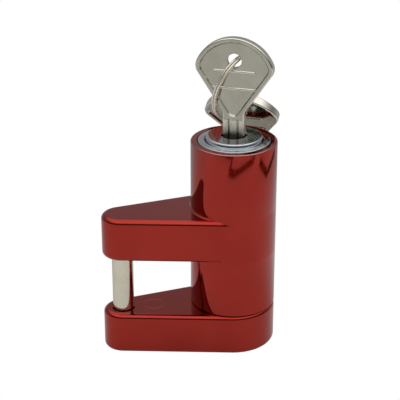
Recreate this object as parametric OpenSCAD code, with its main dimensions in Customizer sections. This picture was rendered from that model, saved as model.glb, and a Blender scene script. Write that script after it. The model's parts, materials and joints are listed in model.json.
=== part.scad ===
// Disc brake lock with a key cylinder, a loose base arm and two keys on a split ring.
// Origin on the barrel's axis at the underside, +Z up the barrel, both arms reach to -X.

/* [Barrel] */
// Diameter of the barrel
barrel_d = 28; // [27:0.5:30]
// Height of the barrel's rim above the underside
rim_z = 71; // [70:0.5:74]

/* [Arms] */
// Thickness of the base arm
base_t = 14; // [13:0.5:15]
// Height of the disc slot between the two arms
slot_h = 19.5; // [18:0.5:20]
// Thickness of the upper arm
arm_t = 14.5; // [13:0.5:15]
// Distance from the barrel's axis to the arms' tip centre
tip_x = 36.9; // [34:0.1:42]
// Radius of the arms' tips
tip_r = 6.6; // [6.2:0.1:8]
// Rounding along the arms' edges
edge_r = 1.6; // [1:0.1:2]

/* [Locking pin] */
// Diameter of the locking pin
pin_d = 7; // [6:0.1:7.4]

/* [Lock face] */
// Diameter of the raised disc on the plug
cap_d = 18.3; // [17.5:0.1:18.3]
// Height of the raised disc above the rim
cap_rise = 1.2; // [0.8:0.1:1.6]
// Outer diameter of the bright ring around it
bezel_d = 23.4; // [22.6:0.1:24]

/* [Keys] */
// Radius of the arc over the key's head
head_r = 13.4; // [13:0.1:14]
// Thickness of the key's head
head_t = 3; // [2.6:0.1:3]
// Width of the key's blade
blade_w = 7; // [6.6:0.1:7]
// Thickness of the key's blade
blade_t = 2.4; // [2:0.1:2.5]
// Direction that the key's flat faces, about +Z from -Y
key_az = -26; // [-60:1:30]

/* [Split ring] */
// Mean diameter of the split ring
ring_d = 24.4; // [24.2:0.1:24.6]
// Radial thickness of the ring's wire
ring_wire = 1.1; // [1:0.1:1.2]
// Width of the ring's two turns together
ring_w = 1.6; // [1.4:0.1:1.6]

/* [Hidden] */
$fn = 64;

eps = 0.01;
slip = 0.05;                        // radial clearance of turning and sliding fits
barrel_r = barrel_d / 2;
pin_r = pin_d / 2;

// Heights of the castings
edge_steps = 3;
seam = 0.1;                         // play between the barrel and the base
arm_z0 = base_t + slot_h;
arm_z1 = arm_z0 + arm_t;

// Locking pin
pin_seat = 10;                      // how deep it is pressed into the upper arm
pin_seat_r = pin_r - 0.5;           // pressed end, which leaves a shoulder under the arm
pin_reach = 5.5;                    // how deep its tip stands in the base
pin_tip_r = pin_r - 0.3;
pin_hole_r = pin_tip_r + 0.3;
pin_nose = 1.2;

// Base post, its balls and their groove
post_r = 8;
post_bore_r = 4.6;
post_top = arm_z0 + 7.5;
post_z0 = base_t / 2;
post_floor = post_top - 13.5;
ball_r = 2.5;
ball_z = post_top - 7;
ball_in = post_r - slip - ball_r;   // ball centre, unlocked
ball_throw = 1.5;
groove_r = ball_in + ball_throw;
post_oring_z = base_t + 6;

// Cam: its radius grows by ball_throw over a quarter turn and falls again over the next
cam_gap = 0.12;
cam_low = ball_in - ball_r - cam_gap;
cam_h = 7;
cam_z0 = ball_z - cam_h / 2;
tail_r = 1.8;
tail_flat = 1.4;
cam_screw_r = 1;

// Lock cylinder
plug_r = 6.5;
housing_r = 10;
housing_z0 = post_top + 0.6;
housing_z1 = rim_z - 2.5;
plug_z0 = post_top + 2;
ledge_z = plug_z0 + 2;
clip_t = 1;
clip_r = 7.6;
clip_groove_r = 5.8;
cap_r = cap_d / 2;
cap_top = rim_z + cap_rise;
cap_t = 1;
cap_z0 = housing_z1 + 0.7;
bezel_r = bezel_d / 2;
bezel_ir = cap_r + 0.2;
bezel_z1 = rim_z - slip;
cyl_oring_z = ledge_z + 3;
dowel_r = 1.5;
dowel_z = rim_z - 15;
dowel_y0 = 8.8;

// Wafers
wafer_n = 6;
wafer_t = 1.4;
wafer_pitch = 3;
wafer_w = 4.8;
wafer_throw = 1.2;
wafer_z0 = plug_z0 + 7;
wafer_window = blade_w + 2 * wafer_throw + 0.2;
race_r = plug_r + wafer_throw + 0.2; // channels in the housing that the wafers drop into
spring_r = 0.55;
spring_wire = 0.16;
spring_turns = 9;
spring_pitch = 0.5;
spring_v = 3.3;
tab_u = 0.7;                        // half width of the wafer's tab
tab_at = 1.5;                       // how far the tab is off the middle
pocket_u = 3.8;                     // half width of the slot in the plug for tab and spring

// Key outline: u across, w up from the plug's face
taper = 33.7;                       // half angle of the head's tapering sides
corner_r = 4;
arc_w = 19.3;                       // centre of the arc over the head
corner_a = 24;                      // where the arc over the head meets the corner's arc
rim_w = 1.3;
pocket_d = 0.7;
tongue_r = 2;
hole_r = 2.35;
hole_w = 25.3;
bar_u = 13.9;
bar_h = 0.9;
bars_w = [16.3, 21.9];
insert_depth = 23;
rib_u = 1;
rib_groove_u = 0.9;
rib_groove_d = 0.5;
cut_depths = [0.5, 0.9, 0.3, 0.7, 0.4, 0.8, 0.5, 0.3, 0.6];
cut_pitch = 3;

// Split ring: its plane, where its wire sits in the key's hole, and the way from there to its centre
ring_yaw = 37.6;
ring_tip = 108.8;
ring_hang = -58.5;
ring_sag = 0.15;
ring_shift = 0.4;
// Spare key: its place round the ring, and how it leans on the barrel's back
spare_on_ring = -68.5;
spare_yaw = -29.8;
spare_lean = 35.6;
spare_rest = 0.67;

red = "#9c1f24";
steel = "#b9bbbf";
nickel = "#c9c6b4";
brass = "#c9a64b";
rubber = "#222222";

// ---------- shared shapes ----------

function polar(r, a) = [r * cos(a), r * sin(a)];
function flip(p) = [-p.x, p.y];

// Angle at which the arm's straight sides leave the barrel, from +Y
arm_a = asin((barrel_r - tip_r) / tip_x);

// Outline of an arm: barrel circle, tip circle and the straight sides that touch both
module arm_outline(inset) {
    big = barrel_r - inset;
    small = tip_r - inset;
    side = [-sin(arm_a), cos(arm_a)];
    circle(big);
    translate([-tip_x, 0]) circle(small);
    polygon([big * side, [-tip_x, 0] + small * side,
             [-tip_x, 0] + small * [side.x, -side.y], big * [side.x, -side.y]]);
}

// One arm, h thick, its upper and lower edges rounded off in edge_steps small steps
module arm_plate(h) {
    function rise(k) = edge_r * (1 - cos(90 * k / edge_steps));
    for (k = [0:edge_steps - 1]) {
        z = rise(k);
        translate([0, 0, z]) linear_extrude(h - 2 * z) arm_outline(edge_r * (1 - sin(90 * (k + 0.5) / edge_steps)));
    }
}

// Cylinder from z0 to z1
module rod(r, z0, z1) translate([0, 0, z0]) cylinder(h = z1 - z0, r = r);

// Cylinder from z0 to z1 with chamfers c0 below and c1 above
module chamfered_rod(r, z0, z1, c0, c1) rotate_extrude()
    polygon([[0, z0], [r - c0, z0], [r, z0 + c0], [r, z1 - c1], [r - c1, z1], [0, z1]]);

// Tube from z0 to z1
module tube(r, ir, z0, z1) difference() {
    rod(r, z0, z1);
    rod(ir, z0 - 1, z1 + 1);
}

// Ring of round section
module oring(r, z, wire) translate([0, 0, z]) rotate_extrude() translate([r, 0]) circle(wire);

// ---------- castings ----------

module body() color(red) difference() {
    union() {
        chamfered_rod(barrel_r, base_t + seam, rim_z, 0.4, 0.5);
        translate([0, 0, arm_z0]) arm_plate(arm_t);
    }
    rod(post_r + slip, 0, housing_z0);
    rod(housing_r + slip, housing_z0 - slip, rim_z);
    rod(bezel_r, housing_z1, rim_z + 1);
    oring(groove_r, ball_z, ball_r + 0.15);
    translate([-tip_x, 0, 0]) rod(pin_seat_r, arm_z0 - 1, arm_z0 + pin_seat);
    translate([0, 0, dowel_z]) rotate([-90, 0, 0]) cylinder(h = barrel_r + 1, r = dowel_r);
}

module base_plate() color(red) difference() {
    arm_plate(base_t);
    rod(post_r, post_z0, base_t + 1);
    rod(screw_r + 0.2, 1, post_z0 + 1);
    rod(screw_head_r + 0.4, 1, screw_head_z1);
    rod(base_plug_r, -1, base_plug_t + 0.2);
    translate([-tip_x, 0, 0]) {
        rod(pin_hole_r, base_t - pin_reach - 1, base_t + 1);
        translate([0, 0, base_t - 0.4]) cylinder(h = 0.4 + eps, r1 = pin_hole_r, r2 = pin_hole_r + 0.4);
    }
    // shallow witness ring on the upper face
    translate([-tip_x + 10.2, 0, 0]) tube(3.3, 3, base_t - 0.12, base_t + 1);
}

module locking_pin() color(nickel) translate([-tip_x, 0, 0]) {
    z0 = base_t - pin_reach;
    z1 = arm_z0 + pin_seat;
    waist = base_t + seam;
    rotate_extrude() polygon([
        [0, z0], [pin_tip_r - pin_nose, z0], [pin_tip_r, z0 + pin_nose], [pin_tip_r, waist],
        [pin_r, waist + pin_r - pin_tip_r], [pin_r, arm_z0], [pin_seat_r, arm_z0],
        [pin_seat_r, z1 - 0.5], [pin_seat_r - 0.5, z1], [0, z1]]);
}

// ---------- base post and its fastening ----------

screw_r = 2.5;
screw_head_r = 5;
screw_head_z0 = 1.8;
screw_head_z1 = screw_head_z0 + 3.6;
screw_z1 = post_z0 + 9;
base_plug_r = 6.5;
base_plug_t = 1.4;

module base_post() color(steel) difference() {
    chamfered_rod(post_r, post_z0, post_top, 0.4, 0.6);
    rod(post_bore_r, post_floor, post_top + 1);
    translate([0, 0, ball_z]) rotate([0, 90, 0]) cylinder(h = 4 * post_r, r = ball_r + slip, center = true);
    tube(post_r + 1, post_r - 1.04, post_oring_z - 0.6, post_oring_z + 0.6);
    rod(screw_r, post_z0 - 1, screw_z1 + 1);
}

module post_oring() color(rubber) oring(post_r - 0.5, post_oring_z, 0.53);

module post_screw() color("#44464a") difference() {
    union() {
        chamfered_rod(screw_head_r, screw_head_z0, screw_head_z1, 0.4, 0.01);
        chamfered_rod(screw_r, screw_head_z1 - 1, screw_z1, 0.01, 0.4);
    }
    translate([0, 0, screw_head_z0 - 1]) cylinder(h = 3, r = 2.3, $fn = 6);
}

module base_plug() color("#2c2c2e") chamfered_rod(base_plug_r, 0, base_plug_t, 0.3, 0.01);

module ball(side) color(steel) translate([side * ball_in, 0, ball_z]) sphere(ball_r);
module ball_left() ball(-1);
module ball_right() ball(1);

// ---------- cam ----------

function cam_radius(a) = cam_low + ball_throw * (1 - abs((a % 180) - 90) / 90);

// D-shaped section of the plug's tail, larger by gap all round
module tail_section(gap) intersection() {
    circle(tail_r + gap);
    translate([0, tail_flat - tail_r]) square(2 * (tail_r + gap), center = true);
}

module cam() color(brass) translate([0, 0, cam_z0]) linear_extrude(cam_h) difference() {
    polygon([for (a = [0:5:355]) polar(cam_radius(a), a)]);
    rotate([0, 0, key_az]) tail_section(0.02);
}

module cam_screw() color(steel) difference() {
    union() {
        rod(2, cam_z0 - 1.8, cam_z0 - 0.02);
        rod(cam_screw_r, cam_z0 - 1, cam_z0 + cam_h - 1.5);
    }
    translate([-2.5, -0.3, cam_z0 - 3]) cube([5, 0.6, 1.9]);
}

// ---------- lock cylinder ----------

module bezel_ring() color("silver") difference() {
    chamfered_rod(bezel_r, housing_z1, bezel_z1, 0.01, 0.3);
    rod(bezel_ir, housing_z1 - 1, bezel_z1 + 1);
    translate([0, 0, bezel_z1 - 0.4]) cylinder(h = 0.41, r1 = bezel_ir, r2 = bezel_ir + 0.4);
}

module cylinder_housing() color(brass) difference() {
    rod(housing_r, housing_z0, housing_z1);
    rod(plug_r + slip, housing_z0 - 1, housing_z1 + 1);
    rod(clip_r + 0.4, housing_z0 - 1, ledge_z);
    rotate([0, 0, key_az]) for (a = [0, 90]) rotate([0, 0, a])
        translate([-race_r, -wafer_w / 2 - 0.2, wafer_z0 - 1])
        cube([2 * race_r, wafer_w + 0.4, wafer_n * wafer_pitch + 1]);
    tube(housing_r + 1, housing_r - 0.96, cyl_oring_z - 0.6, cyl_oring_z + 0.6);
    translate([0, dowel_y0, dowel_z]) rotate([-90, 0, 0]) cylinder(h = housing_r, r = dowel_r);
}

module cylinder_oring() color(rubber) oring(housing_r - 0.47, cyl_oring_z, 0.49);

module cylinder_dowel() color(steel) translate([0, dowel_y0, dowel_z]) rotate([-90, 0, 0])
    cylinder(h = barrel_r - 0.3 - dowel_y0, r = dowel_r);

// Where wafer i sits and which way it moves: +1 or -1 across the plug
function wafer_z(i) = wafer_z0 + i * wafer_pitch;
function wafer_side(i) = i % 2 == 0 ? 1 : -1;

module plug() color(brass) rotate([0, 0, key_az]) difference() {
    union() {
        rod(plug_r, plug_z0, cap_top - cap_t);
        translate([0, 0, cam_z0 + 0.5]) linear_extrude(plug_z0 - cam_z0) tail_section(0);
    }
    tube(plug_r + 1, clip_groove_r, ledge_z - slip - clip_t, ledge_z - slip);
    translate([-blade_w / 2 - 0.15, -blade_t / 2 - 0.15, cap_top - insert_depth - 1])
        cube([blade_w + 0.3, blade_t + 0.3, insert_depth + 2]);
    for (i = [0:wafer_n - 1]) translate([0, 0, wafer_z(i) - 0.05]) {
        translate([-plug_r - 1, -wafer_w / 2 - 0.05, 0]) cube([2 * plug_r + 2, wafer_w + 0.1, wafer_t + 0.1]);
        translate([-pocket_u, 0, 0]) cube([2 * pocket_u, spring_v + spring_r + 0.15, wafer_t + 0.1]);
    }
    rod(cam_screw_r, cam_z0, cam_z0 + cam_h - 1);
}

module plug_cap() color("silver") difference() {
    chamfered_rod(cap_r, cap_z0, cap_top, 0.3, 0.3);
    rod(plug_r, cap_z0 - 1, cap_top - cap_t);
    rotate([0, 0, key_az]) translate([0, 0, cap_top]) cube([blade_w + 0.6, blade_t + 0.7, 6], center = true);
}

module plug_clip() color(steel) rotate([0, 0, key_az]) difference() {
    tube(clip_r, clip_groove_r, ledge_z - slip - clip_t + 0.02, ledge_z - slip - 0.02);
    translate([-2, -10, 0]) cube([4, 10, ledge_z + 1]);
}

module wafer(i) color(brass) rotate([0, 0, key_az]) translate([0, 0, wafer_z(i)]) linear_extrude(wafer_t)
    difference() {
        union() {
            intersection() {
                circle(plug_r - slip);
                square([2 * plug_r, wafer_w], center = true);
            }
            translate([wafer_side(i) * tab_at - tab_u, 0]) square([2 * tab_u, spring_v + spring_r]);
        }
        square([wafer_window, blade_t + 0.3], center = true);
    }
module wafer_1() wafer(0);
module wafer_2() wafer(1);
module wafer_3() wafer(2);
module wafer_4() wafer(3);
module wafer_5() wafer(4);
module wafer_6() wafer(5);

// Six wafer springs, each a row of turns beside its wafer's tab
module wafer_springs() color(steel) rotate([0, 0, key_az])
    for (i = [0:wafer_n - 1]) let (s = wafer_side(i))
        translate([s * (tab_at - tab_u - 0.02), spring_v, wafer_z(i) + wafer_t / 2]) rotate([0, -s * 90, 0]) {
            rod(spring_r - spring_wire, 0, spring_turns * spring_pitch);
            for (k = [0:spring_turns - 1]) rod(spring_r, k * spring_pitch, (k + 0.6) * spring_pitch);
        }

// ---------- keys and ring ----------

taper_n = polar(1, -taper);
corner_c = [0, arc_w] + polar(head_r - corner_r, corner_a);

// Half of the head's tapering side at height w, for an outline drawn inset
function side_u(w, inset) = (taper_n * corner_c + corner_r - inset - taper_n.y * w) / taper_n.x;

// Outline of the key's head, inset all round, ending at height w0 in a straight edge
module head_outline(inset, w0) {
    c = corner_c;
    touch = c + (corner_r - inset) * taper_n;
    far = 2 * head_r;
    for (s = [-1, 1]) translate([s * c.x, c.y]) circle(corner_r - inset);
    intersection() {
        translate([0, arc_w]) circle(head_r - inset);
        polygon([[0, arc_w], [0, arc_w] + polar(far, corner_a), [0, arc_w] + polar(far, 90),
                 [0, arc_w] + flip(polar(far, corner_a))]);
    }
    polygon([c, touch, [side_u(w0, inset), w0], flip([side_u(w0, inset), w0]), flip(touch), flip(c)]);
}

// Recess in the head: follows the rim and ends in a round tongue
module pocket_outline() {
    tongue_w = (-(taper_n * corner_c) - corner_r + rim_w + tongue_r) / -taper_n.y;
    head_outline(rim_w, tongue_w + tongue_r * taper_n.y);
    translate([0, tongue_w]) circle(tongue_r);
}

neck_w = (blade_w / 2 * taper_n.x - taper_n * corner_c - corner_r) / -taper_n.y;

// Blade with a pointed end and cuts along both edges
module blade_outline() {
    half = blade_w / 2;
    difference() {
        polygon([[-half, neck_w + 1], [-half, 3 - insert_depth], [-1, -insert_depth], [1, -insert_depth],
                 [half, 3 - insert_depth], [half, neck_w + 1]]);
        for (s = [-1, 1], i = [0:len(cut_depths) - 1]) let (
            w = cut_pitch * i - insert_depth + 5,
            d = cut_depths[s > 0 ? i : len(cut_depths) - 1 - i])
            polygon([[s * (half + 1), w - d - 1.5], [s * (half - d), w - 0.5],
                     [s * (half - d), w + 0.5], [s * (half + 1), w + d + 1.5]]);
    }
}

// Key with its plug-face level at w = 0: u along X, w along Z, flats facing -Y and +Y
module key_shape() rotate([90, 0, 0]) {
    difference() {
        translate([0, 0, -head_t / 2]) linear_extrude(head_t) head_outline(0, neck_w);
        for (s = [-1, 1]) translate([0, 0, s * head_t / 2 - pocket_d]) linear_extrude(2 * pocket_d) pocket_outline();
        translate([0, hole_w, -head_t]) cylinder(h = 2 * head_t, r = hole_r);
    }
    for (s = [0, 1], w = bars_w) translate([-bar_u / 2, w - bar_h / 2, s * (head_t - pocket_d) - head_t / 2])
        cube([bar_u, bar_h, pocket_d]);
    difference() {
        translate([0, 0, -blade_t / 2]) linear_extrude(blade_t) blade_outline();
        for (s = [-1, 1], t = [-1, 1])
            translate([s * (rib_u + rib_groove_u / 2), -insert_depth / 2 + neck_w / 2, t * blade_t / 2])
            cube([rib_groove_u, insert_depth + neck_w - 2, 2 * rib_groove_d], center = true);
    }
}

module key() color(nickel) translate([0, 0, cap_top]) rotate([0, 0, key_az]) key_shape();

ring_x = [cos(ring_yaw), sin(ring_yaw), 0];
ring_y = [-sin(ring_yaw) * cos(ring_tip), cos(ring_yaw) * cos(ring_tip), sin(ring_tip)];
function round_ring(a) = ring_d / 2 * (cos(a) * ring_x + sin(a) * ring_y);
ring_at = [ring_shift * cos(key_az), ring_shift * sin(key_az), cap_top + hole_w - ring_sag];
ring_c = ring_at + round_ring(ring_hang);
spare_up = [sin(spare_yaw) * sin(spare_lean), -cos(spare_yaw) * sin(spare_lean), cos(spare_lean)];
spare_at = ring_c + round_ring(spare_on_ring) + spare_rest * spare_up;

module spare_key() color(nickel) translate(spare_at) rotate([0, 0, spare_yaw]) rotate([spare_lean, 0, 0])
    translate([0, 0, -hole_w]) key_shape();

// Two flat turns, joined where the wire crosses over
module split_ring() color(steel) translate(ring_c) rotate([0, 0, ring_yaw]) rotate([ring_tip, 0, 0]) {
    turn = ring_w / 2 - 0.03;
    for (z = [-ring_w / 2, 0.03]) tube((ring_d + ring_wire) / 2, (ring_d - ring_wire) / 2, z, z + turn);
    rotate([0, 0, 60]) translate([ring_d / 2 - 0.4, -1, -ring_w / 2]) cube([0.8, 2, ring_w]);
}

body();
base_plate();
locking_pin();
bezel_ring();
cylinder_housing();
cylinder_oring();
cylinder_dowel();
plug();
plug_cap();
plug_clip();
wafer_1();
wafer_2();
wafer_3();
wafer_4();
wafer_5();
wafer_6();
wafer_springs();
cam();
cam_screw();
ball_left();
ball_right();
base_post();
post_oring();
post_screw();
base_plug();
key();
spare_key();
split_ring();
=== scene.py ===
"""Looks of the disc brake lock: shells, keys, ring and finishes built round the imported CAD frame.

Meshes are worked out in millimetres, in the frame of the part, and scaled to metres when they are made.
"""
import json
import math

import bmesh
import bpy
from mathutils import Matrix, Vector
from mathutils.geometry import delaunay_2d_cdt


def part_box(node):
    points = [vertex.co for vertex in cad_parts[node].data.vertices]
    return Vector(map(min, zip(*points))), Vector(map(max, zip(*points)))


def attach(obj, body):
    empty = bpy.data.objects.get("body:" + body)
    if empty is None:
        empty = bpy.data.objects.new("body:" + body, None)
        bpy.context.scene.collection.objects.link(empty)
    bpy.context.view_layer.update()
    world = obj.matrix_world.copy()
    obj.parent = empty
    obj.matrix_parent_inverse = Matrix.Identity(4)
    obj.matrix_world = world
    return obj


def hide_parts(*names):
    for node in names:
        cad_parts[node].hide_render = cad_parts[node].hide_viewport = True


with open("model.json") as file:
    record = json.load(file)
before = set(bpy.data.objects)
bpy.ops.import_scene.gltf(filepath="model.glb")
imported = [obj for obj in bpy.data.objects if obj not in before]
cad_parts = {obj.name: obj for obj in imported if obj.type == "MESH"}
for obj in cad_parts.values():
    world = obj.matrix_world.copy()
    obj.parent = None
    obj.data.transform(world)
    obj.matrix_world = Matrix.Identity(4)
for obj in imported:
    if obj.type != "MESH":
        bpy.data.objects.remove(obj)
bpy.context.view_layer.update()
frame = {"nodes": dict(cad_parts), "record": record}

MM = 0.001
SHARP = math.radians(32)               # edges that turn by more than this are drawn sharp
FULL_TURN = 2 * math.pi
AXIS_GAP = 0.01                        # radius at which a turned profile closes on its axis
WELD = 1e-4                            # points nearer than this are one


# ---------- sizes read from the frame, in mm ----------

def corners(node):
    """Lowest and highest corner of a CAD node."""
    low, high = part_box(node)
    return low / MM, high / MM


body_low, body_high = corners("body")
_, base_high = corners("base_plate")
pin_low, pin_high = corners("locking_pin")
bezel_low, bezel_high = corners("bezel_ring")
cap_low, cap_high = corners("plug_cap")
post_low, post_high = corners("base_post")
housing_low, housing_high = corners("cylinder_housing")
ball_low, ball_high = corners("ball_right")
_, plug_high = corners("base_plug")
dowel_low, dowel_high = corners("cylinder_dowel")
oring_low, oring_high = corners("post_oring")

SLIP = 0.05                            # play between a part and its bore, on the radius
BARREL_R = body_high.x
RIM_Z = body_high.z
PIN_R = (pin_high.x - pin_low.x) / 2
TIP_X = -(pin_high.x + pin_low.x) / 2    # from the barrel's axis to the pin's
TIP_R = -body_low.x - TIP_X
ARM_A = math.asin((BARREL_R - TIP_R) / TIP_X)
BASE_T = base_high.z
PIN_SEAT = 10                          # how far the pin's slimmer end goes into the upper arm
PIN_SEAT_R = PIN_R - 0.5
PIN_TIP_R = PIN_R - 0.3
ARM_T = 14.5
ARM_Z0 = pin_high.z - PIN_SEAT
ARM_Z1 = ARM_Z0 + ARM_T
EDGE_R = 1.6                           # rounding of the castings' outer edges
BALL_TRAVEL = 1.5
POST_R = post_high.y
BALL_R = (ball_high.z - ball_low.z) / 2
BALL_Z = (ball_high.z + ball_low.z) / 2
GROOVE_R = (ball_high.x + ball_low.x) / 2 + BALL_TRAVEL
HOUSING_R = housing_high.x
CAP_TOP = cap_high.z
CAP_R = cap_high.y
BEZEL_R = bezel_high.x


# ---------- mesh helpers ----------

def arc(centre, radius, start, end, steps):
    """Points on an arc from start to end, both ends included. Angles in radians."""
    turn = (end - start) / steps
    return [(centre[0] + radius * math.cos(start + turn * i), centre[1] + radius * math.sin(start + turn * i))
            for i in range(steps + 1)]


def between(a, b, steps):
    """Points from a towards b in equal steps, without either end."""
    return [(a[0] + (b[0] - a[0]) * i / steps, a[1] + (b[1] - a[1]) * i / steps) for i in range(1, steps)]


def circle(radius, segments, centre=(0, 0)):
    """A whole circle's points."""
    return arc(centre, radius, 0, FULL_TURN * (1 - 1 / segments), segments - 1)


def at_height(points, z):
    return [(x, y, z) for x, y in points]


def finish_mesh(bm, name):
    """Closes up a bmesh drawn in mm, shades it smooth but for its sharp edges, and makes its object."""
    bmesh.ops.remove_doubles(bm, verts=bm.verts, dist=WELD)
    bmesh.ops.dissolve_degenerate(bm, edges=bm.edges, dist=WELD / 10)
    bmesh.ops.recalc_face_normals(bm, faces=bm.faces)
    mark_sharp(bm)
    bmesh.ops.scale(bm, vec=(MM, MM, MM), verts=bm.verts)
    mesh = bpy.data.meshes.new(name)
    bm.to_mesh(mesh)
    bm.free()
    obj = bpy.data.objects.new(name, mesh)
    bpy.context.scene.collection.objects.link(obj)
    return obj


def mark_sharp(bm):
    """Smooth shading everywhere but across sharp and open edges."""
    for face in bm.faces:
        face.smooth = True
    for edge in bm.edges:
        edge.smooth = len(edge.link_faces) == 2 and edge.calc_face_angle() < SHARP


def stack(bm, loops, closed=True):
    """Quads between neighbouring loops of equal length; closed also joins the last loop to the first."""
    rows = [[bm.verts.new(p) for p in loop] for loop in loops]
    pairs = list(zip(rows, rows[1:])) + ([(rows[-1], rows[0])] if closed else [])
    for lower, upper in pairs:
        for i in range(len(lower)):
            j = (i + 1) % len(lower)
            bm.faces.new((lower[i], lower[j], upper[j], upper[i]))
    return rows


def lathe(name, profile, segments=192, axis=(0, 0)):
    """Turns a closed profile of (radius, z) about the vertical line through axis."""
    bm = bmesh.new()
    stack(bm, [at_height(circle(r, segments, axis), z) for r, z in profile])
    return finish_mesh(bm, name)


def fill(bm, outer, holes=()):
    """Flat triangles inside outer and outside the holes, each a list of verts at one level."""
    loops = [outer, *holes]
    verts = [v for loop in loops for v in loop]
    owner = [k for k, loop in enumerate(loops) for _ in loop]
    edges, start = [], 0
    for loop in loops:
        edges += [(start + i, start + (i + 1) % len(loop)) for i in range(len(loop))]
        start += len(loop)
    flat = [Vector((v.co.x, v.co.y)) for v in verts]
    inside_only, nearest = 1, 1e-7
    _, _, faces, origin, _, _ = delaunay_2d_cdt(flat, edges, [], inside_only, nearest)
    for face in faces:
        used = {owner[origin[i][0]] for i in face}
        if 0 in used or len(used) > 1:
            bm.faces.new([verts[origin[i][0]] for i in face])


def bake_modifiers(obj):
    """Puts what an object's modifiers make of it into its mesh."""
    graph = bpy.context.evaluated_depsgraph_get()
    mesh = bpy.data.meshes.new_from_object(obj.evaluated_get(graph))
    obj.modifiers.clear()
    old = obj.data
    obj.data = mesh
    bpy.data.meshes.remove(old)


def combine(obj, others, operation):
    """Adds the other objects to obj, or cuts them from it, and removes them."""
    for other in others:
        boolean = obj.modifiers.new("combine", "BOOLEAN")
        boolean.operation = operation
        boolean.solver = "EXACT"
        boolean.object = other
        bake_modifiers(obj)
        bpy.data.objects.remove(other)
    bm = bmesh.new()
    bm.from_mesh(obj.data)
    bmesh.ops.remove_doubles(bm, verts=bm.verts, dist=WELD * MM)
    mark_sharp(bm)
    bm.to_mesh(obj.data)
    bm.free()
    return obj


def peg(name, radius, z0, z1, segments=64, axis=(0, 0)):
    """A plain closed cylinder, used as a cutter."""
    bm = bmesh.new()
    rows = stack(bm, [at_height(circle(radius, segments, axis), z) for z in (z0, z1)], closed=False)
    bm.faces.new(rows[0])
    bm.faces.new(rows[1])
    return finish_mesh(bm, name)


def bar(name, low, high, bevel=0.0, segments=2):
    """A closed box from low to high with its edges bevelled."""
    bm = bmesh.new()
    bmesh.ops.create_cube(bm, size=1)
    size = [h - l for l, h in zip(low, high)]
    bmesh.ops.scale(bm, vec=size, verts=bm.verts)
    bmesh.ops.translate(bm, vec=[(h + l) / 2 for l, h in zip(low, high)], verts=bm.verts)
    if bevel:
        bmesh.ops.bevel(bm, geom=bm.edges, offset=bevel, segments=segments, profile=0.5, affect="EDGES")
    return finish_mesh(bm, name)


def place(obj, matrix):
    """Moves an object's mesh, so that the object itself stays at the origin."""
    obj.data.transform(matrix)
    return obj


def mark_points(obj, name, mark_at):
    """Stores mark_at(point in mm) with each point, for a material to read."""
    marks = obj.data.attributes.new(name, "FLOAT", "POINT")
    marks.data.foreach_set("value", [float(mark_at(v.co / MM)) for v in obj.data.vertices])


def round_corner(centre, radius, start, end, steps=6):
    """Profile points round a corner, with start and end in degrees."""
    return arc(centre, radius, math.radians(start), math.radians(end), steps)


def piece(obj, body, slot, *nodes):
    """Rides a finished piece on its body in place of its CAD nodes, with its slot's finish."""
    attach(obj, body)
    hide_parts(*nodes)
    obj.data.materials.clear()
    obj.data.materials.append(finishes[slot])
    normals = obj.modifiers.new("flat_faces_flat", "WEIGHTED_NORMAL")
    normals.keep_sharp = True


# ---------- castings ----------

ARC_STEPS, SIDE_STEPS, TIP_STEPS = 168, 24, 64
SIDE_ANGLE = math.pi / 2 + ARM_A       # where the straight sides leave the barrel, from +X


def arm_outline(inset, wall_r):
    """Barrel and arm in one loop: an arc of radius wall_r, both straight sides and the tip.

    The sides and the tip are drawn in by inset.
    """
    reach = BARREL_R - inset
    leave = SIDE_ANGLE + math.acos(min(1, reach / wall_r))
    wall = arc((0, 0), wall_r, -leave, leave, ARC_STEPS)
    tip = arc((-TIP_X, 0), TIP_R - inset, SIDE_ANGLE, FULL_TURN - SIDE_ANGLE, TIP_STEPS)
    return wall + between(wall[-1], tip[0], SIDE_STEPS) + tip + between(tip[-1], wall[0], SIDE_STEPS)


def circle_outline(radius, inset=0):
    """A circle with as many points as arm_outline, spaced so that the two line up."""
    leave = SIDE_ANGLE + math.acos(min(1, (BARREL_R - inset) / BARREL_R))
    rest = 2 * (SIDE_STEPS - 1) + TIP_STEPS + 1
    wall = arc((0, 0), radius, -leave, leave, ARC_STEPS)
    return wall + arc((0, 0), radius, leave, FULL_TURN - leave, rest + 1)[1:-1]


def rounding(z_flat, turn, steps=8):
    """(inset, z) from the flat face at z_flat to the upright side; turn: -1 under a top, +1 over a bottom."""
    quarter = [math.pi / 2 * i / steps for i in range(steps + 1)]
    return [(EDGE_R * (1 - math.sin(t)), z_flat + turn * EDGE_R * (1 - math.cos(t))) for t in quarter]


def fillet_loops(largest=0.7, steps=6):
    """Hollow fillet where the barrel rises from the arm's top, dying out where the arm's sides leave it."""
    ring = circle_outline(BARREL_R, EDGE_R)
    share = 0.8                        # part of the room beside the barrel that the fillet may take
    far = 0.3                          # below this cosine the arm's side is far off
    sizes = []
    for x, y in ring:
        side = math.cos(abs(math.atan2(y, x)) - SIDE_ANGLE)
        reach = (BARREL_R - EDGE_R) / side if side > far else 2 * BARREL_R
        sizes.append(max(0, min(largest, share * (reach - BARREL_R))) if x < 0 else 0)
    loops = []
    for i in range(steps + 1):
        t = math.pi / 2 * i / steps
        scaled = [(1 + f * (1 - math.cos(t)) / BARREL_R, f * (1 - math.sin(t))) for f in sizes]
        loops.append([(x * k, y * k, ARM_Z1 + lift) for (x, y), (k, lift) in zip(ring, scaled)])
    return loops


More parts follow.
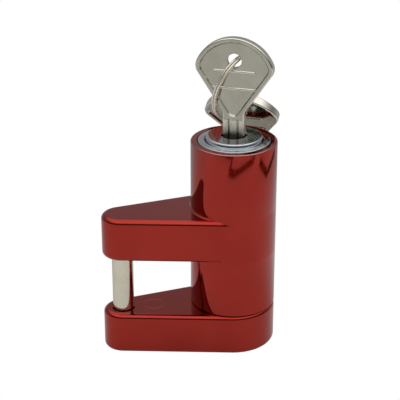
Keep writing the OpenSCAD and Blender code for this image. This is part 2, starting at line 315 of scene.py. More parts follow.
def make_body():
    """Barrel and upper arm in one casting, with the stepped bore for the lock cylinder and the post."""
    edge, lead_in, flare = 0.45, 0.3, 0.35
    bottom = body_low.z
    bore_r = POST_R + SLIP
    wide_r = HOUSING_R + SLIP
    face_r = BEZEL_R + 0.1
    groove_r = BALL_R + 0.15
    groove_half = math.degrees(math.acos((bore_r - GROOVE_R) / groove_r))
    top = round_corner((BARREL_R - edge, RIM_Z - edge), edge, 90, 0)
    foot = round_corner((BARREL_R - edge, bottom + edge), edge, 0, -90)
    loops = [at_height(circle_outline(r), z) for r, z in top]
    loops += fillet_loops()
    loops += [at_height(arm_outline(inset, BARREL_R), z) for inset, z in rounding(ARM_Z1, -1)]
    loops += [at_height(arm_outline(inset, BARREL_R), z) for inset, z in reversed(rounding(ARM_Z0, 1))]
    loops += [at_height(circle_outline(BARREL_R, EDGE_R), ARM_Z0)]
    loops += [at_height(circle_outline(r), z) for r, z in foot]
    inside = [(bore_r + lead_in, bottom), (bore_r, bottom + lead_in)]
    inside += round_corner((GROOVE_R, BALL_Z), groove_r, -groove_half, groove_half, 12)
    inside += [(bore_r, housing_low.z - SLIP), (wide_r, housing_low.z - SLIP), (wide_r, housing_high.z)]
    inside += [(face_r, housing_high.z), (face_r, RIM_Z - flare), (BEZEL_R + flare, RIM_Z)]
    loops += [at_height(circle_outline(r), z) for r, z in inside]
    bm = bmesh.new()
    stack(bm, loops)
    shell = finish_mesh(bm, "body_shell")
    pin_hole = peg("pin_hole", PIN_SEAT_R + 0.02, ARM_Z0 - 1, ARM_Z0 + PIN_SEAT, axis=(-TIP_X, 0))
    dowel_r = (dowel_high.x - dowel_low.x) / 2
    dowel_z = (dowel_high.z + dowel_low.z) / 2
    dowel_hole = peg("dowel_hole", dowel_r, HOUSING_R - 1, BARREL_R + 1)
    place(dowel_hole, Matrix.Translation((0, 0, dowel_z * MM)) @ Matrix.Rotation(-math.pi / 2, 4, "X"))
    combine(shell, [pin_hole, dowel_hole], "DIFFERENCE")
    # Marks the rim's rounded outer edge for a paler, pinker colour: a painted highlight.
    mark_points(shell, "painted_rim_highlight", lambda p: p.z > RIM_Z - 0.7 * edge and p.xy.length > BARREL_R - 0.6 * edge)
    return shell


def make_base():
    """Lower arm: a rounded plate with the pin's hole, the post's seat and the screw's recess below."""
    loops = [at_height(arm_outline(inset, BARREL_R - inset), z) for inset, z in rounding(BASE_T, -1)]
    loops += [at_height(arm_outline(inset, BARREL_R - inset), z) for inset, z in reversed(rounding(0, 1))]
    bm = bmesh.new()
    rows = stack(bm, loops, closed=False)
    fill(bm, rows[0])
    fill(bm, rows[-1])
    shell = finish_mesh(bm, "base_shell")
    hole_r = PIN_TIP_R + 0.3
    chamfer = 0.4
    deep, above = pin_low.z - 1, BASE_T + 1
    hole = lathe("pin_hole", [(AXIS_GAP, deep), (hole_r, deep), (hole_r, BASE_T - chamfer),
                              (hole_r + chamfer, BASE_T), (hole_r + chamfer, above), (AXIS_GAP, above)],
                 72, (-TIP_X, 0))
    seat = peg("post_seat", POST_R, post_low.z, above, 96)
    screw_low, screw_high = corners("post_screw")
    screw_r, screw_head_h, recess_z = 2.7, 3.6, 1
    screw_way = peg("screw_way", screw_r, recess_z, post_low.z + 1)
    head_way = peg("head_way", screw_high.x + 0.4, recess_z, screw_low.z + screw_head_h)
    plug_way = peg("plug_way", plug_high.x, -1, plug_high.z + 0.2, 96)
    return combine(shell, [hole, seat, screw_way, head_way, plug_way], "DIFFERENCE")


def make_pin():
    """Locking pin: round-nosed tip, plain middle and a slimmer end pressed into the arm."""
    nose, edge = 1.2, 0.5
    waist = BASE_T + 0.1
    bottom, top = pin_low.z, pin_high.z
    profile = [(AXIS_GAP, bottom), (PIN_TIP_R - nose, bottom)]
    profile += round_corner((PIN_TIP_R - nose, bottom + nose), nose, -90, 0, 8)
    profile += [(PIN_TIP_R, waist), (PIN_R, waist + PIN_R - PIN_TIP_R), (PIN_R, ARM_Z0), (PIN_SEAT_R, ARM_Z0)]
    profile += [(PIN_SEAT_R, top - edge), (PIN_SEAT_R - edge, top), (AXIS_GAP, top)]
    return lathe("pin", profile, 96, (-TIP_X, 0))


# ---------- lock face ----------

FACE_LIFT = 0.4                        # bezel and cap stand this much higher than in the CAD parts


def make_bezel():
    """Bright ring round the lock's face, its top falling outwards and both edges broken."""
    inner = CAP_R + 0.2
    top, bottom = bezel_high.z + FACE_LIFT, bezel_low.z
    edge, lip = 0.25, 0.4
    slope = math.radians(8)
    fall = (BEZEL_R - edge - inner - lip) * math.tan(slope)
    profile = [(inner, bottom), (BEZEL_R, bottom)]
    profile += round_corner((BEZEL_R - edge, top - fall - edge), edge, 0, 90 - math.degrees(slope))
    profile += [(inner + lip, top), (inner + lip / 2, top - lip / 4), (inner, top - lip)]
    return lathe("bezel", profile)


def make_cap():
    """Raised disc on the plug, with a shallow round mouth and the keyway through it."""
    edge, lower_edge = 0.55, 0.3
    top, low = CAP_TOP + FACE_LIFT, cap_low.z
    under = top - 1
    plug_r = 6.5
    mouth_r, mouth_d, mouth_shade_r = 4.15, 0.85, 5
    profile = [(AXIS_GAP, top), (CAP_R - edge - 0.3, top)]
    profile += round_corner((CAP_R - edge, top - edge), edge, 90, 0)
    profile += [(CAP_R, low + lower_edge), (CAP_R - lower_edge, low), (plug_r, low), (plug_r, under)]
    disc = lathe("cap", profile + [(AXIS_GAP, under)])
    half_w, half_t, corner_r = KEYWAY_W / 2, KEYWAY_T / 2, 0.35
    keyway = bar("keyway", (-half_w, -half_t, under - 1), (half_w, half_t, top + 1), corner_r)
    place(keyway, Matrix.Rotation(KEY_AZ, 4, "Z"))
    mouth = peg("mouth", mouth_r, top - mouth_d, top + 1)
    combine(disc, [keyway, mouth], "DIFFERENCE")
    # Marks the inside of the keyway's mouth for a near-black painted shade.
    mark_points(disc, "painted_mouth_shade", lambda p: p.z < top - 0.05 and p.xy.length < mouth_shade_r)
    return disc


# ---------- keys and ring ----------

KEY_AZ = math.radians(-26)             # direction the key's flats face, about +Z from -Y
KEYWAY_W, KEYWAY_T = 7.6, 3.1
BLADE_W, BLADE_T, BLADE_L, BLADE_EDGE = 7, 2.4, 23, 0.14
HEAD_R, HEAD_T, HEAD_W = 13.4, 3, 19.3    # arc over the head, its thickness, height of the arc's centre
CORNER_R, CORNER_A = 4, math.radians(24)  # rounding where the arc meets a side, and how high it sits
TAPER = math.radians(33.7)             # how far the head's sides lean from upright
RIM_W, WALL_W, POCKET_D = 1.3, 0.4, 0.5   # rim round the head's recess, sloping wall, depth
TONGUE_R = 2                           # rounding at the recess's bottom
HOLE_W, HOLE_R, HOLE_SEGMENTS = 25.3, 2.35, 48
BAR_U, BAR_H, BARS_W = 13.9, 0.95, (16.3, 21.9)    # raised bars: length, height, where they lie
RIDGE_H = 0.45                         # how far the bars stand out of the recess
CUTS = (0.3, 0.9, 0.5, 0.7, 0.4, 0.8, 0.3)    # depths of the cuts, from the blade's point up
CUT_PITCH = 3
SPARE_YAW, SPARE_LEAN = math.radians(-29.8), math.radians(35.6)
CORNER_STEPS, TOP_STEPS, FLANK_STEPS, FOOT_STEPS, NECK_STEPS = 16, 56, 10, 20, 5

# The key is drawn flat, with u across it and w along it from the plug's face.
corner = (math.cos(CORNER_A) * (HEAD_R - CORNER_R), HEAD_W + math.sin(CORNER_A) * (HEAD_R - CORNER_R))
side_normal = (math.cos(TAPER), -math.sin(TAPER))
side_reach = corner[0] * side_normal[0] + corner[1] * side_normal[1] + CORNER_R


def side_point(across, inset):
    """Point on the head's right-hand tapering side, drawn in by inset, at distance across from the middle."""
    return (across, (side_reach - inset - across * side_normal[0]) / side_normal[1])


def mirrored(points):
    return [(-u, w) for u, w in reversed(points)]


def head_outline(inset, foot):
    """Loop round the key's head drawn in by inset. foot holds the points across its bottom, right to left."""
    right = arc(corner, CORNER_R - inset, -TAPER, CORNER_A, CORNER_STEPS)
    top = arc((0, HEAD_W), HEAD_R - inset, CORNER_A, math.pi - CORNER_A, TOP_STEPS)[1:-1]
    half = between(foot[0], right[0], FLANK_STEPS) + right
    return list(reversed(foot)) + half + top + mirrored(half)


NECK_DROP = 2.6                        # how far the head reaches down over the blade
OVERLAP = 0.6                          # how far the blade and its grooves run on into the head
neck_w = side_point(BLADE_W / 2, 0)[1] - NECK_DROP


def neck_foot(inset):
    """Squared bottom of the head, round the top of the blade."""
    end = side_point(BLADE_W / 2 - inset, inset)
    low = (end[0], end[1] - NECK_DROP)
    low_left = (-low[0], low[1])
    right = [end, *between(end, low, NECK_STEPS)]
    across = between(low, low_left, FOOT_STEPS - 2 * NECK_STEPS)
    return right + [low, *across, low_left] + mirrored(right)


def tongue_foot(inset):
    """Round bottom of the head's recess, tighter the further it is drawn in."""
    tighten = 0.4
    radius = TONGUE_R - tighten * (inset - RIM_W)
    centre_w = (side_reach - inset - radius) / side_normal[1]
    return arc((0, centre_w), radius, -TAPER, TAPER - math.pi, FOOT_STEPS)


def make_head():
    """Head of the key, lying in XY: raised rim, recess on both faces and the ring's hole."""
    edge, edge_steps = 0.45, 4
    chamfer = 0.2
    half = HEAD_T / 2
    floor = half - POCKET_D
    bm = bmesh.new()
    face = []
    for i in range(edge_steps + 1):
        t = math.pi / 2 * i / edge_steps
        inset = edge * (1 - math.cos(t))
        face.append((head_outline(inset, neck_foot(inset)), half - edge * (1 - math.sin(t))))
    for inset, z in ((RIM_W, half), (RIM_W + WALL_W, floor)):
        face.append((head_outline(inset, tongue_foot(inset)), z))
    upper = stack(bm, [at_height(points, z) for points, z in face], closed=False)
    lower = stack(bm, [at_height(points, -z) for points, z in face], closed=False)
    ring = circle(HOLE_R, HOLE_SEGMENTS, (0, HOLE_W))
    wide = circle(HOLE_R + chamfer, HOLE_SEGMENTS, (0, HOLE_W))
    levels = [(wide, floor), (ring, floor - chamfer), (ring, chamfer - floor), (wide, -floor)]
    hole = stack(bm, [at_height(points, z) for points, z in levels], closed=False)
    fill(bm, upper[-1], [hole[0]])
    fill(bm, lower[-1], [hole[-1]])
    count = len(upper[0])
    for i in range(count):
        bm.faces.new((upper[0][i], upper[0][(i + 1) % count], lower[0][(i + 1) % count], lower[0][i]))
    return finish_mesh(bm, "head")


def blade_outline(cuts):
    """Right-hand edge of the blade from its point up, with its cuts."""
    half = BLADE_W / 2
    point_w, point_l, first_cut, flat = 1, 3, 5, 0.5
    points = [(point_w, -BLADE_L), (half, point_l - BLADE_L)]
    for i, depth in enumerate(cuts):
        low = CUT_PITCH * i - BLADE_L + first_cut - flat
        high = low + 2 * flat
        points += [(half, low - depth), (half - depth, low), (half - depth, high), (half, high + depth)]
    return points + [(half, neck_w + OVERLAP)]


def make_blade():
    """Blade of the key, lying in XY."""
    outline = blade_outline(CUTS) + mirrored(blade_outline(CUTS[::-1]))
    bm = bmesh.new()
    rows = stack(bm, [at_height(outline, z) for z in (-BLADE_T / 2, BLADE_T / 2)], closed=False)
    fill(bm, rows[0])
    fill(bm, rows[1])
    return add_bevel(finish_mesh(bm, "blade"), BLADE_EDGE)


def make_grooves():
    """Cutters for the groove on each side of the blade's middle rib, on both faces."""
    inner, outer, depth, beyond, edge = 1.1, 1.8, 0.5, 2, 0.3
    start, end = 2 - BLADE_L, neck_w + OVERLAP
    return [bar("groove", (min(a, b), start, z), (max(a, b), end, z + beyond), edge, 4)
            for z in (BLADE_T / 2 - depth, depth - BLADE_T / 2 - beyond)
            for a, b in ((inner, outer), (-inner, -outer))]


def add_bevel(obj, width):
    """Breaks an object's sharper edges by width."""
    bevel = obj.modifiers.new("bevel", "BEVEL")
    bevel.width = width * MM
    bevel.segments = 2
    bevel.limit_method = "ANGLE"
    bevel.angle_limit = math.radians(40)
    bake_modifiers(obj)
    return obj


def make_key(name):
    """A whole key, upright: u along X, its plug-face level at z = 0, flats facing -Y and +Y."""
    head = make_head()
    half = HEAD_T / 2
    floor = half - POCKET_D
    proud, root = floor + RIDGE_H, floor - 1
    half_u, half_h, edge = BAR_U / 2, BAR_H / 2, BAR_H * 0.45
    bars = [bar("raised_bar", (-half_u, w - half_h, low), (half_u, w + half_h, high), edge, 5)
            for low, high in ((-proud, -root), (root, proud)) for w in BARS_W]
    combine(head, [make_blade(), *bars], "UNION")
    combine(head, make_grooves(), "DIFFERENCE")
    head.name = name

    def bare_metal_and_painted_highlight(p):
        """How much paler the plate is drawn: the milled blade as bare metal, the head's edges, sides and bars
        as a painted highlight.
        """
        if p.y < neck_w:
            return 0.45
        return 0.65 if floor + 0.02 < abs(p.z) < half - 0.01 else 0

    mark_points(head, "milled", lambda p: p.y < neck_w)
    # The head's edges, sides and bars are drawn paler as a painted highlight; the blade is drawn paler as
    # bare metal.
    mark_points(head, "bright", bare_metal_and_painted_highlight)
    return place(head, Matrix.Rotation(math.pi / 2, 4, "X"))


def box_centre(node):
    low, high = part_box(node)
    return (low + high) / 2


def mesh_centre(obj):
    points = [v.co for v in obj.data.vertices]
    low = Vector([min(p[k] for p in points) for k in range(3)])
    high = Vector([max(p[k] for p in points) for k in range(3)])
    return (low + high) / 2


def lay_on(obj, node):
    """Moves a mesh so that its box has the same centre as the CAD node's."""
    return place(obj, Matrix.Translation(box_centre(node) - mesh_centre(obj)))


def make_ring():
    """Split ring: one flat wire wound twice, crossing over from the first turn to the second."""
    low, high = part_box("split_ring")
    mount = next(m for m in frame["record"]["mounts"] if m["name"] == "key_ring")
    normal = Vector(mount["axis"]).normalized()
    wire, width = 1.1, 0.67            # the wire's size along the ring's radius and along its axis
    gap = 0.22                         # between the two turns
    steep = math.sqrt(1 - normal.z ** 2)
    mean_r = (high.z - low.z) / MM / 2 / steep - wire / 2 - width * abs(normal.z) / steep
    centre_z = (width + gap) / 2
    start, shift = math.radians(60), math.radians(20)    # where the wire ends, and how far it takes to cross
    wound = 2 * FULL_TURN - math.radians(4)
    steps = 400
    corner_r = 0.3
    section = []
    for cx, cz, a in ((1, 1, 0), (-1, 1, 90), (-1, -1, 180), (1, -1, 270)):
        centre = (cx * (wire / 2 - corner_r), cz * (width / 2 - corner_r))
        section += round_corner(centre, corner_r, a, a + 90, 3)
    bm = bmesh.new()
    rows = []
    for i in range(steps + 1):
        t = start + wound * i / steps
        passed = min(1, max(0, (t - start - FULL_TURN + shift) / shift))
        lift = centre_z * (2 * passed * passed * (3 - 2 * passed) - 1)
        radial = Vector((math.cos(t), math.sin(t), 0))
        rows.append([bm.verts.new(radial * (mean_r + r) + Vector((0, 0, z + lift))) for r, z in section])
    for a, b in zip(rows, rows[1:]):
        for i in range(len(section)):
            j = (i + 1) % len(section)
            bm.faces.new((a[i], a[j], b[j], b[i]))
    bm.faces.new(rows[0])
    bm.faces.new(rows[-1])
    ring = finish_mesh(bm, "key_ring")
    for mark in ("milled", "bright"):
        mark_points(ring, mark, lambda p: 1)
    across = Vector((normal.y, -normal.x, 0)).normalized()
    up = normal.cross(across)
    turn = Matrix((across, up, normal)).transposed().to_4x4()
    return place(ring, Matrix.Translation((low + high) / 2) @ turn)


# ---------- post ----------

def make_post():
    """Hollow post that carries the locking balls, with its seal's groove."""
    top, bottom = post_high.z, post_low.z
    bore_r, bore_d, lead_in = 4.6, 13.5, 0.3
    screw_r, screw_d = 2.5, 10
    edge, foot_edge = 0.6, 0.4
    groove_r = POST_R - 1.04
    seal_z = (oring_low.z + oring_high.z) / 2
    seal_low, seal_high = seal_z - 0.6, seal_z + 0.6
    profile = [(AXIS_GAP, bottom), (POST_R - foot_edge, bottom), (POST_R, bottom + foot_edge)]
    profile += [(POST_R, seal_low), (groove_r, seal_low), (groove_r, seal_high), (POST_R, seal_high)]
    profile += round_corner((POST_R - edge, top - edge), edge, 0, 90)
    profile += [(bore_r + lead_in, top), (bore_r, top - lead_in)]
    profile += [(bore_r, top - bore_d), (AXIS_GAP, top - bore_d)]
    post = lathe("post", profile)
    ball_way = peg("ball_way", BALL_R + SLIP, -2 * POST_R, 2 * POST_R)
    place(ball_way, Matrix.Translation((0, 0, BALL_Z * MM)) @ Matrix.Rotation(math.pi / 2, 4, "Y"))
    screw_way = peg("screw_way", screw_r, bottom - 1, bottom + screw_d)
    return combine(post, [ball_way, screw_way], "DIFFERENCE")


# ---------- node helpers ----------

FLOAT_A, FLOAT_B, COLOUR_A, COLOUR_B = 2, 3, 6, 7    # a mix node's sockets, which share their names
COLOUR_OUT = 2


def grey(level):
    return (level, level, level)


def map_range(tree, value, low, high, out_low=0.0, out_high=1.0):
    """Maps low..high to out_low..out_high, held at the ends."""
    node = tree.nodes.new("ShaderNodeMapRange")
    limits = {"From Min": low, "From Max": high, "To Min": out_low, "To Max": out_high}
    for name, number in limits.items():
        node.inputs[name].default_value = number
    tree.links.new(value, node.inputs["Value"])
    return node.outputs[0]


def blend(tree, share, colour_a, colour_b):
    """colour_a where the socket share is 0 and colour_b where it is 1. A colour is a tuple or a socket."""
    node = tree.nodes.new("ShaderNodeMix")
    node.data_type = "RGBA"
    tree.links.new(share, node.inputs[0])
    for socket, colour in ((node.inputs[COLOUR_A], colour_a), (node.inputs[COLOUR_B], colour_b)):
        if isinstance(colour, tuple):
            socket.default_value = (*colour, 1)
        else:
            tree.links.new(colour, socket)
    return node.outputs[COLOUR_OUT]


class Finish:
    """A Principled material and a few shorthands for the nodes that drive it."""

    def __init__(self, name, **values):
        self.material = bpy.data.materials.new(name)
        self.material.use_nodes = True
        self.tree = self.material.node_tree
        self.shader = self.tree.nodes["Principled BSDF"]
        self.place = self.add("ShaderNodeTexCoord").outputs["Object"]
        for socket, value in values.items():
            self.shader.inputs[socket.replace("_", " ")].default_value = value

    def add(self, kind, **settings):
        """A new node with these settings."""
        node = self.tree.nodes.new(kind)
        for key, value in settings.items():
            setattr(node, key, value)
        return node

    def link(self, output, target):
        self.tree.links.new(output, target)

    def noise(self, size_mm, detail, stretch=(1, 1, 1)):
        """Noise from 0 to 1 with features of about size_mm, drawn out along an axis by a stretch under 1."""
        mapping = self.add("ShaderNodeMapping")
        mapping.inputs["Scale"].default_value = stretch
        self.link(self.place, mapping.inputs["Vector"])
        noise = self.add("ShaderNodeTexNoise")
        noise.inputs["Scale"].default_value = 1 / (size_mm * MM)
        noise.inputs["Detail"].default_value = detail
        self.link(mapping.outputs[0], noise.inputs["Vector"])
        return noise.outputs[0]

    def mark(self, name):
        """What mark_points stored under this name, 0 on a mesh without it."""
        return self.add("ShaderNodeAttribute", attribute_name=name).outputs["Fac"]

    def along(self, axis):
        """Position along X, Y or Z."""
        split = self.add("ShaderNodeSeparateXYZ")
        self.link(self.place, split.inputs[0])
        return split.outputs[axis]

    def away(self, centre_x=0):
        """Distance from the upright line through centre_x, in mm, on the X axis."""
        flat = self.add("ShaderNodeMapping")
        flat.inputs["Scale"].default_value = (1, 1, 0)
        flat.inputs["Location"].default_value = (-centre_x * MM, 0, 0)
        self.link(self.place, flat.inputs["Vector"])
        length = self.add("ShaderNodeVectorMath", operation="LENGTH")
        self.link(flat.outputs[0], length.inputs[0])
        return length.outputs["Value"]

    def span(self, value, low, high, out_low=0.0, out_high=1.0):
        return map_range(self.tree, value, low, high, out_low, out_high)

    def times(self, a, b):
        node = self.add("ShaderNodeMath", operation="MULTIPLY")
        self.link(a, node.inputs[0])
        self.link(b, node.inputs[1])
        return node.outputs[0]

    def mix(self, share, a, b):
        """The number a where share is 0 and b where it is 1, all three sockets."""
        node = self.add("ShaderNodeMix")
        for output, index in ((share, 0), (a, FLOAT_A), (b, FLOAT_B)):
            self.link(output, node.inputs[index])
        return node.outputs[0]

    def tint(self, share, colour_a, colour_b):
        return blend(self.tree, share, colour_a, colour_b)

    def colour(self, output):
        self.link(output, self.shader.inputs["Base Color"])

    def rough(self, output):
        self.link(output, self.shader.inputs["Roughness"])

    def bump(self, layers):
        """Layers of bump, each (height socket, height in mm, strength)."""
        normal = None
        for height, depth_mm, strength in layers:
            node = self.add("ShaderNodeBump")
            node.inputs["Distance"].default_value = depth_mm * MM
            node.inputs["Strength"].default_value = strength
            self.link(height, node.inputs["Height"])
            if normal:
                self.link(normal, node.inputs["Normal"])
            normal = node.outputs[0]
        self.link(normal, self.shader.inputs["Normal"])

    def edges(self):
        """1 along outer edges, broken up by noise."""
        pointed = self.add("ShaderNodeNewGeometry").outputs["Pointiness"]
        return self.times(self.span(pointed, 0.52, 0.6), self.span(self.noise(0.8, 4), 0.5, 0.62))


# ---------- finishes, named after their material slots ----------

def witness_ring(f):
    """Height of the faint round mark that the mould's ejector left on the base's upper face."""
    from_pin, radius, half_width = 10.2, 3.15, 0.2
    away = f.away(from_pin - TIP_X)
    height = f.along("Z")
    on_face = f.span(height, (BASE_T - 0.06) * MM, (BASE_T - 0.05) * MM)
    below_arm = f.span(height, (BASE_T + 1) * MM, (BASE_T + 2) * MM, 1, 0)
    rise = f.span(away, (radius - half_width) * MM, radius * MM)
    fall = f.span(away, radius * MM, (radius + half_width) * MM, 1, 0)
    return f.times(f.times(rise, fall), f.times(on_face, below_arm))


def red_coat():
    """Candy red: a clear coat over red-tinted bright metal, with faint orange peel and a painted highlight on
    the rim's outer edge.
    """
    f = Finish("red_coat", Metallic=1.0, Coat_Weight=0.6, Coat_Roughness=0.03, Coat_IOR=1.5)
    cloud = f.noise(14, 3)
    base = f.tint(f.span(cloud, 0.35, 0.65), (0.385, 0.014, 0.004), (0.425, 0.018, 0.006))
    # A paler, pinker colour on the rim's outer edge: a painted highlight.
    f.colour(f.tint(f.mark("painted_rim_highlight"), base, (0.42, 0.24, 0.23)))
    f.rough(f.span(f.noise(1.3, 4), 0.3, 0.7, 0.06, 0.1))
    f.bump([(f.noise(2.2, 2), 0.012, 0.5), (f.noise(0.35, 2), 0.002, 0.4), (witness_ring(f), 0.035, 1)])
    return f.material


def plated(name, dull, bright):
    """Plate between two tints, with tumbled scratches and brighter edges, and satin where it is milled."""
    f = Finish(name, Metallic=1.0)
    base = f.tint(f.span(f.noise(6, 3), 0.35, 0.65), dull, bright)
    polished = f.tint(f.edges(), base, (0.86, 0.84, 0.76))
    # Where marked bright: a painted highlight on the key head's edges, sides and bars, and paler bare metal
    # on the blade and ring.
    f.colour(f.tint(f.mark("bright"), polished, (0.96, 0.91, 0.8)))
    smooth = f.span(f.noise(0.7, 4), 0.3, 0.7, 0.1, 0.18)
    satin = f.span(f.noise(0.4, 4), 0.3, 0.7, 0.26, 0.36)
    f.rough(f.mix(f.mark("milled"), smooth, satin))
    scratches = f.noise(0.5, 3, (1, 1, 0.12))
    f.bump([(f.noise(0.9, 3), 0.004, 0.3), (scratches, 0.002, 0.2)])
    return f.material


def nickel_plate():
    return plated("nickel_plate", (0.47, 0.46, 0.375), (0.53, 0.52, 0.435))


def pin_plate():
    return plated("pin_plate", (0.77, 0.72, 0.56), (0.83, 0.78, 0.62))


def chrome():
    """Polished chrome with a cool cast and fine turning marks, with painted shade inside the keyway's mouth.
    """
    f = Finish("chrome", Metallic=1.0)
    chrome_tone = f.tint(f.span(f.noise(5, 3), 0.35, 0.65), (0.58, 0.62, 0.66), (0.64, 0.68, 0.72))
    # Near black inside the keyway's mouth: painted shade.
    f.colour(f.tint(f.mark("painted_mouth_shade"), chrome_tone, (0.05, 0.045, 0.035)))
    f.rough(f.span(f.noise(1.0, 4), 0.35, 0.7, 0.1, 0.16))
    pitch = 0.2
    turned = f.add("ShaderNodeTexNoise", noise_dimensions="1D")
    turned.inputs["Scale"].default_value = 1 / (pitch * MM)
    f.link(f.away(), turned.inputs["W"])
    f.bump([(turned.outputs[0], 0.0012, 0.35), (f.noise(1.6, 2), 0.004, 0.3)])
    return f.material


def brass():
    f = Finish("brass", Metallic=1.0)
    f.colour(f.tint(f.span(f.noise(3, 4), 0.35, 0.7), (0.66, 0.47, 0.19), (0.48, 0.33, 0.13)))
    f.rough(f.span(f.noise(0.6, 4), 0.3, 0.7, 0.22, 0.38))
    f.bump([(f.noise(0.4, 2, (0.2, 0.2, 4)), 0.006, 0.4)])
    return f.material


def steel():
    f = Finish("steel", Metallic=1.0)
    f.colour(f.tint(f.span(f.noise(4, 4), 0.35, 0.7), (0.5, 0.5, 0.51), (0.4, 0.4, 0.42)))
    f.rough(f.span(f.noise(0.7, 4), 0.3, 0.7, 0.16, 0.3))
    f.bump([(f.noise(0.3, 2, (0.2, 0.2, 5)), 0.004, 0.4)])
    return f.material


def dark_steel():
    f = Finish("dark_steel", Metallic=1.0)
    f.colour(f.tint(f.span(f.noise(2, 4), 0.4, 0.7), (0.06, 0.06, 0.065), (0.11, 0.1, 0.1)))
    f.rough(f.span(f.noise(0.5, 4), 0.3, 0.7, 0.38, 0.55))
    f.bump([(f.noise(0.3, 3), 0.01, 0.4)])
    return f.material


def rubber():
    f = Finish("rubber")
    f.colour(f.tint(f.span(f.noise(1.5, 4), 0.4, 0.7), grey(0.014), grey(0.03)))
    f.rough(f.span(f.noise(0.4, 3), 0.3, 0.7, 0.5, 0.7))
    f.bump([(f.noise(0.2, 2), 0.008, 0.4)])
    return f.material


def black_plastic():
    f = Finish("black_plastic")
    f.colour(f.tint(f.span(f.noise(2, 3), 0.35, 0.7), (0.018, 0.018, 0.019), (0.03, 0.03, 0.031)))
    f.rough(f.span(f.noise(0.5, 3), 0.3, 0.7, 0.36, 0.5))
    f.bump([(f.noise(0.25, 3), 0.01, 0.5)])
    return f.material


finishes = {make.__name__: make()
            for make in (red_coat, nickel_plate, pin_plate, chrome, brass, steel, dark_steel, rubber,
                         black_plastic)}


# ---------- build ----------

piece(make_body(), "body", "red_coat", "body")
piece(make_base(), "base", "red_coat", "base_plate")
piece(make_pin(), "body", "pin_plate", "locking_pin")
piece(make_bezel(), "body", "chrome", "bezel_ring")
piece(make_cap(), "plug", "chrome", "plug_cap")
piece(make_post(), "base", "steel", "base_post")

key_pose = Matrix.Translation((0, 0, CAP_TOP * MM)) @ Matrix.Rotation(KEY_AZ, 4, "Z")
piece(place(make_key("front_key"), key_pose), "key", "nickel_plate", "key")
hung_turn = Matrix.Rotation(SPARE_YAW, 4, "Z") @ Matrix.Rotation(SPARE_LEAN, 4, "X")
hung_key = lay_on(place(make_key("rear_key"), hung_turn), "spare_key")
piece(hung_key, "spare_key", "nickel_plate", "spare_key")
piece(make_ring(), "split_ring", "nickel_plate", "split_ring")

slots = {s["node"]: s["material_slot"] for s in frame["record"]["subparts"]}
for node, obj in frame["nodes"].items():
    obj.data.materials.clear()
    obj.data.materials.append(finishes[slots[node]])


# ---------- floor, light and camera ----------

CAMERA_AZ, CAMERA_EL = math.radians(-11.34), math.radians(25.44)    # from -Y, and above the floor
CAMERA_YAW, CAMERA_TILT = math.radians(-9.71), math.radians(66.52)
CAMERA_REACH = 0.4249
CAMERA_AIM = Vector((0, 0, 0.034))
FLOOR_HALF = 1.5
UNDER_FLOOR = 0.5                      # grey of the world under the floor


def stage_sheet(bm, name, material):
    """Makes a floor-level object that the camera doesn't see and that isn't part of the lock."""
    mesh = bpy.data.meshes.new(name)
    bm.to_mesh(mesh)
    bm.free()
    mesh.materials.append(material)
    sheet = bpy.data.objects.new(name, mesh)
    bpy.context.scene.collection.objects.link(sheet)
    sheet.visible_camera = False
    return sheet


def make_floor():
    """Pale floor that lights the lock and shows in its reflections, darker behind it.

    The camera sees the white world instead, so that the ground has no edge. The floor is clear from
    below, so that the base stays in view and lit when it drops.
    """
    f = Finish("floor", Roughness=0.9, Specular_IOR_Level=0.1)
    near = f.tint(f.span(f.noise(60, 3), 0.3, 0.7), grey(0.66), grey(0.68))
    f.colour(f.tint(f.span(f.along("Y"), -0.02, 0.16), near, grey(0.4)))
    one_way = f.add("ShaderNodeMixShader")
    f.link(f.add("ShaderNodeNewGeometry").outputs["Backfacing"], one_way.inputs[0])
    f.link(f.shader.outputs[0], one_way.inputs[1])
    f.link(f.add("ShaderNodeBsdfTransparent").outputs[0], one_way.inputs[2])
    f.link(one_way.outputs[0], f.tree.nodes["Material Output"].inputs["Surface"])
    bm = bmesh.new()
    bmesh.ops.create_grid(bm, x_segments=1, y_segments=1, size=FLOOR_HALF)
    stage_sheet(bm, "floor", f.material)


def make_strip(name, turn, reach, droop, half_angle, width=0.011, steps=16):
    """Dark curved band lying on the floor, seen only in reflections, bent towards the lock at its middle.

    turn is the middle's direction from -Y and half_angle the reach to each side, in degrees.
    """
    lift = 0.0004
    bm = bmesh.new()
    rows = []
    for i in range(steps + 1):
        share = 2 * i / steps - 1
        angle = math.radians(turn) + math.radians(half_angle) * share
        radius = reach + droop * abs(share)
        rows.append([bm.verts.new((math.sin(angle) * r, -math.cos(angle) * r, lift))
                     for r in (radius, radius + width)])
    for a, b in zip(rows, rows[1:]):
        bm.faces.new((a[0], b[0], b[1], a[1]))
    f = Finish(name, Roughness=0.9)
    f.colour(f.tint(f.noise(20, 2), grey(0.008), grey(0.015)))
    strip = stage_sheet(bm, name, f.material)
    strip.visible_diffuse = False
    strip.visible_shadow = False


def grey_ramp(tree, value, stops):
    """A grey for each value, from stops of (value, grey)."""
    ramp = tree.nodes.new("ShaderNodeValToRGB")
    tree.links.new(value, ramp.inputs[0])
    elements = ramp.color_ramp.elements
    while len(elements) < len(stops):
        elements.new(0.5)
    for element, (position, level) in zip(elements, stops):
        element.position = position
        element.color = (*grey(level), 1)
    return ramp.outputs[0]


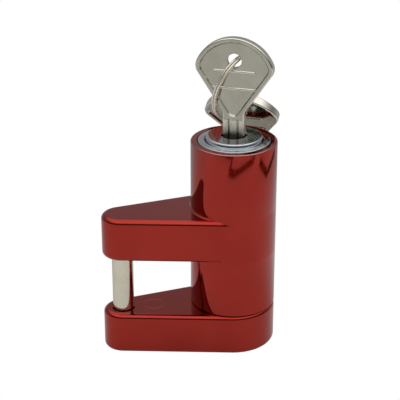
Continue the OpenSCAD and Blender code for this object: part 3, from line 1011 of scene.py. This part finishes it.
def make_world():
    """White to the camera; to reflections a grey room, darker low down on the camera's side.

    Directions under the floor's far edge are seen only from below the floor.
    """
    world = bpy.data.worlds.new("studio")
    bpy.context.scene.world = world
    world.use_nodes = True
    tree = world.node_tree
    rays = tree.nodes.new("ShaderNodeLightPath")
    direction = tree.nodes.new("ShaderNodeTexCoord")
    split = tree.nodes.new("ShaderNodeSeparateXYZ")
    tree.links.new(direction.outputs["Generated"], split.inputs[0])
    height = split.outputs["Z"]
    near = grey_ramp(tree, height, ((0, 0.03), (0.3, 0.06), (0.45, 0.4), (0.6, 0.8), (0.75, 1.3), (1, 1.1)))
    far = grey_ramp(tree, height, ((0, 0.34), (0.35, 0.3), (0.5, 0.28), (0.75, 0.9), (1, 1.1)))
    room = blend(tree, map_range(tree, split.outputs["Y"], -0.2, 0.2), near, far)
    whole = blend(tree, map_range(tree, height, -0.1, -0.08, 1, 0), room, grey(UNDER_FLOOR))
    seen = blend(tree, rays.outputs["Is Camera Ray"], whole, grey(1))
    tree.links.new(seen, tree.nodes["Background"].inputs["Color"])


def make_softbox(name, location, size, power):
    """Square area light aimed at the origin, left out of reflections."""
    light = bpy.data.lights.new(name, "AREA")
    light.size = size
    light.energy = power
    obj = bpy.data.objects.new(name, light)
    bpy.context.scene.collection.objects.link(obj)
    obj.location = location
    obj.visible_glossy = False
    obj.rotation_euler = (-Vector(location)).to_track_quat("-Z", "Y").to_euler()


def make_camera():
    """Camera at the photograph's angle, turned a little off its aim to place the lock in the frame."""
    level = math.cos(CAMERA_EL)
    back = Vector((math.sin(CAMERA_AZ) * level, -math.cos(CAMERA_AZ) * level, math.sin(CAMERA_EL)))
    camera = bpy.data.cameras.new("camera")
    camera.lens = 115.1
    camera.sensor_width = 36
    camera.clip_start, camera.clip_end = 0.01, 10
    obj = bpy.data.objects.new("camera", camera)
    bpy.context.scene.collection.objects.link(obj)
    obj.location = CAMERA_AIM + back * CAMERA_REACH
    obj.rotation_euler = (CAMERA_TILT, 0, CAMERA_YAW)
    bpy.context.scene.camera = obj


make_floor()
make_strip("front_band", -25.3, 0.171, 0.016, 50)
make_strip("side_band", 77.7, 0.159, 0.022, 34)
make_world()
make_softbox("overhead", (-0.2, -0.3, 1.5), 1.6, 4)
make_camera()
bpy.context.scene.view_settings.view_transform = "Standard"
